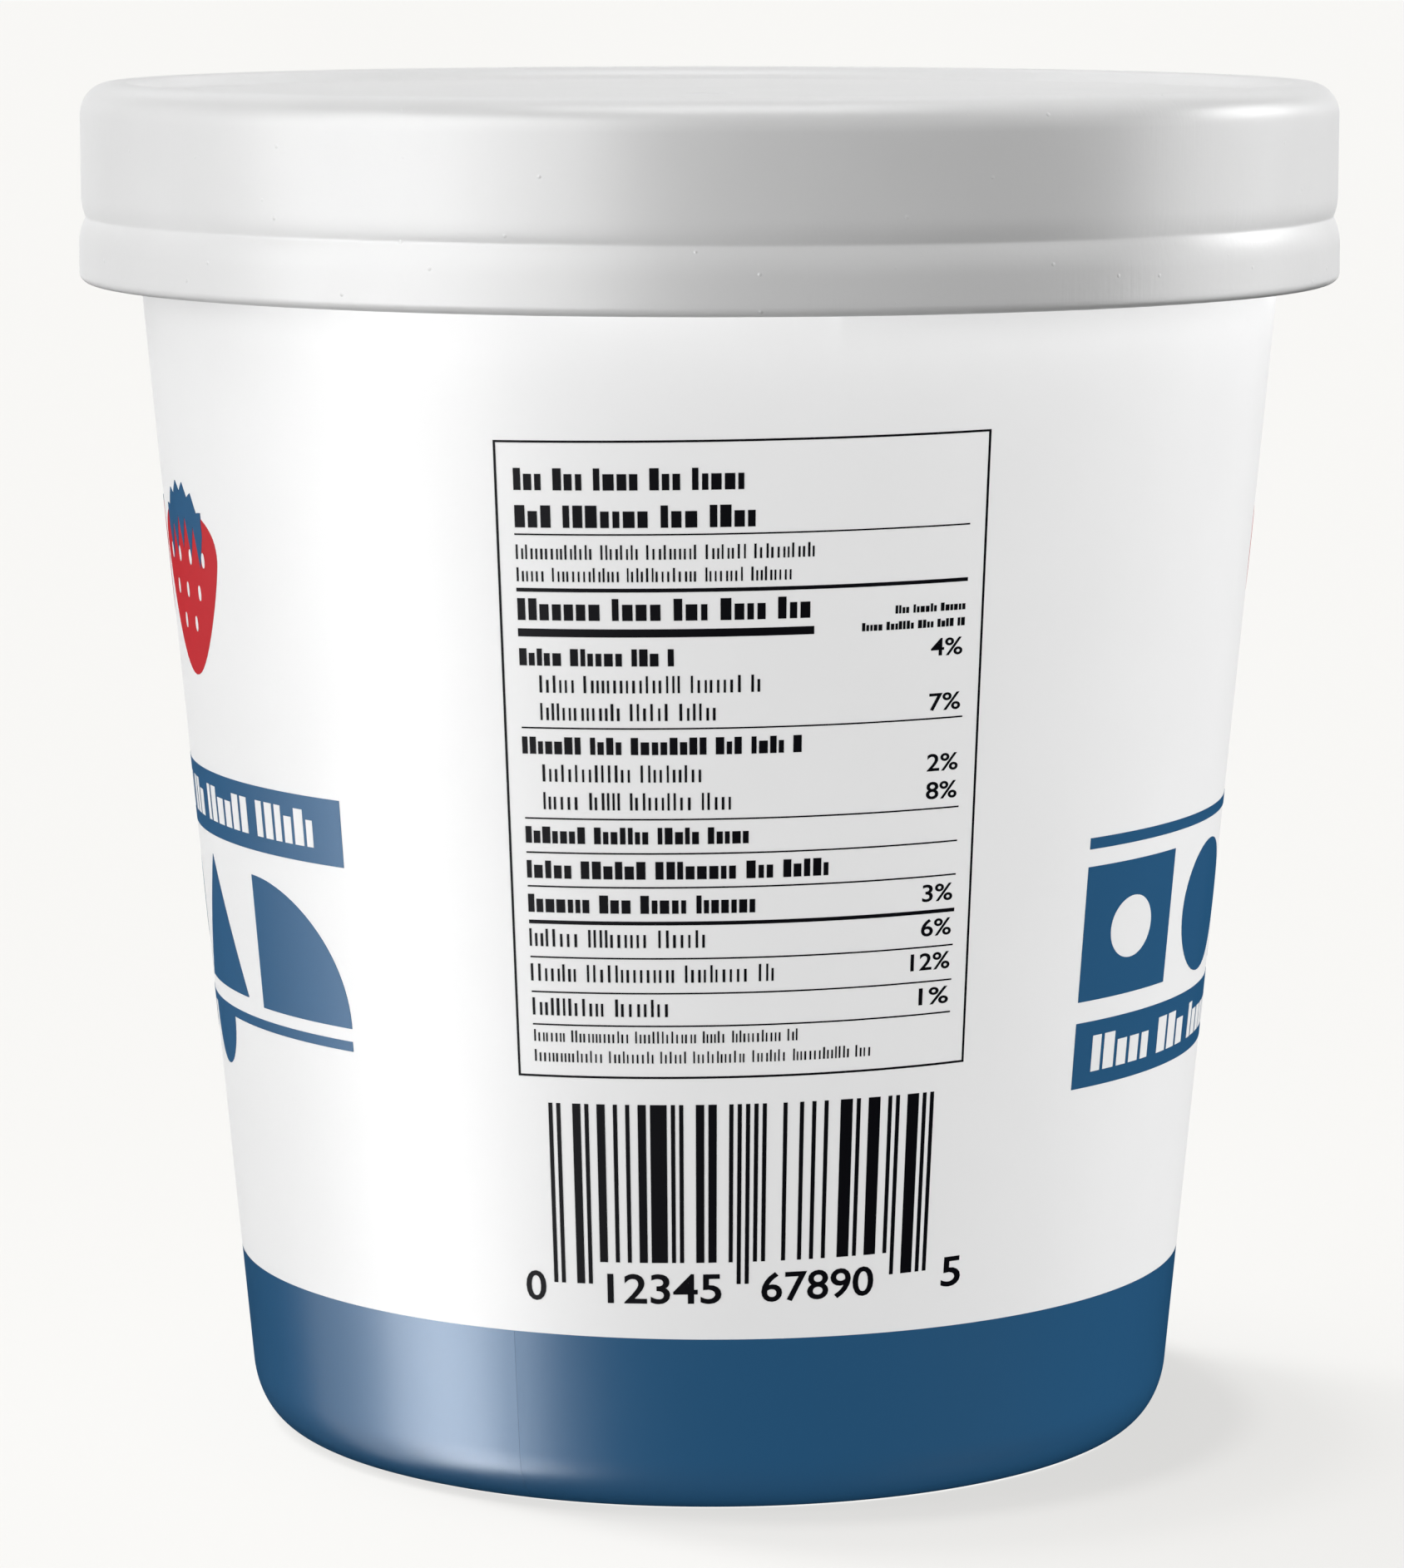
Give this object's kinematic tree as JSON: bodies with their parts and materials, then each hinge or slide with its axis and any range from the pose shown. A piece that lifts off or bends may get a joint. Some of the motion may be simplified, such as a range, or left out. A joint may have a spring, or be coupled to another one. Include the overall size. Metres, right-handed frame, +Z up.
{
  "type": "yogurt pot",
  "caption": "Round tapered plastic yogurt pot, shut, with a stepped push-fit lid, a printed white wrap and a coloured band round its rounded foot.",
  "frame": {"origin": "middle of the foot ring, on the surface that the pot stands on", "axes": "+Z up along the pot's own axis, -Y towards the side with the printed table, +X to the right of someone who faces it"},
  "size_m": [0.102, 0.102, 0.1094],
  "materials": {
    "tub_film": "white printed film moulded onto the tub, soft satin gloss",
    "lid_plastic": "white moulded polypropylene with a fine orange-peel texture",
    "print_blue": "mid blue ink of the foot band and the plain blocks, satin",
    "print_black": "near-black ink of the table and the bar code, satin",
    "print_red": "red ink of the fruit motif, satin"
  },
  "bodies": {
    "root": {"tub": "tub_film", "lid": "lid_plastic"}
  },
  "joints": []
}
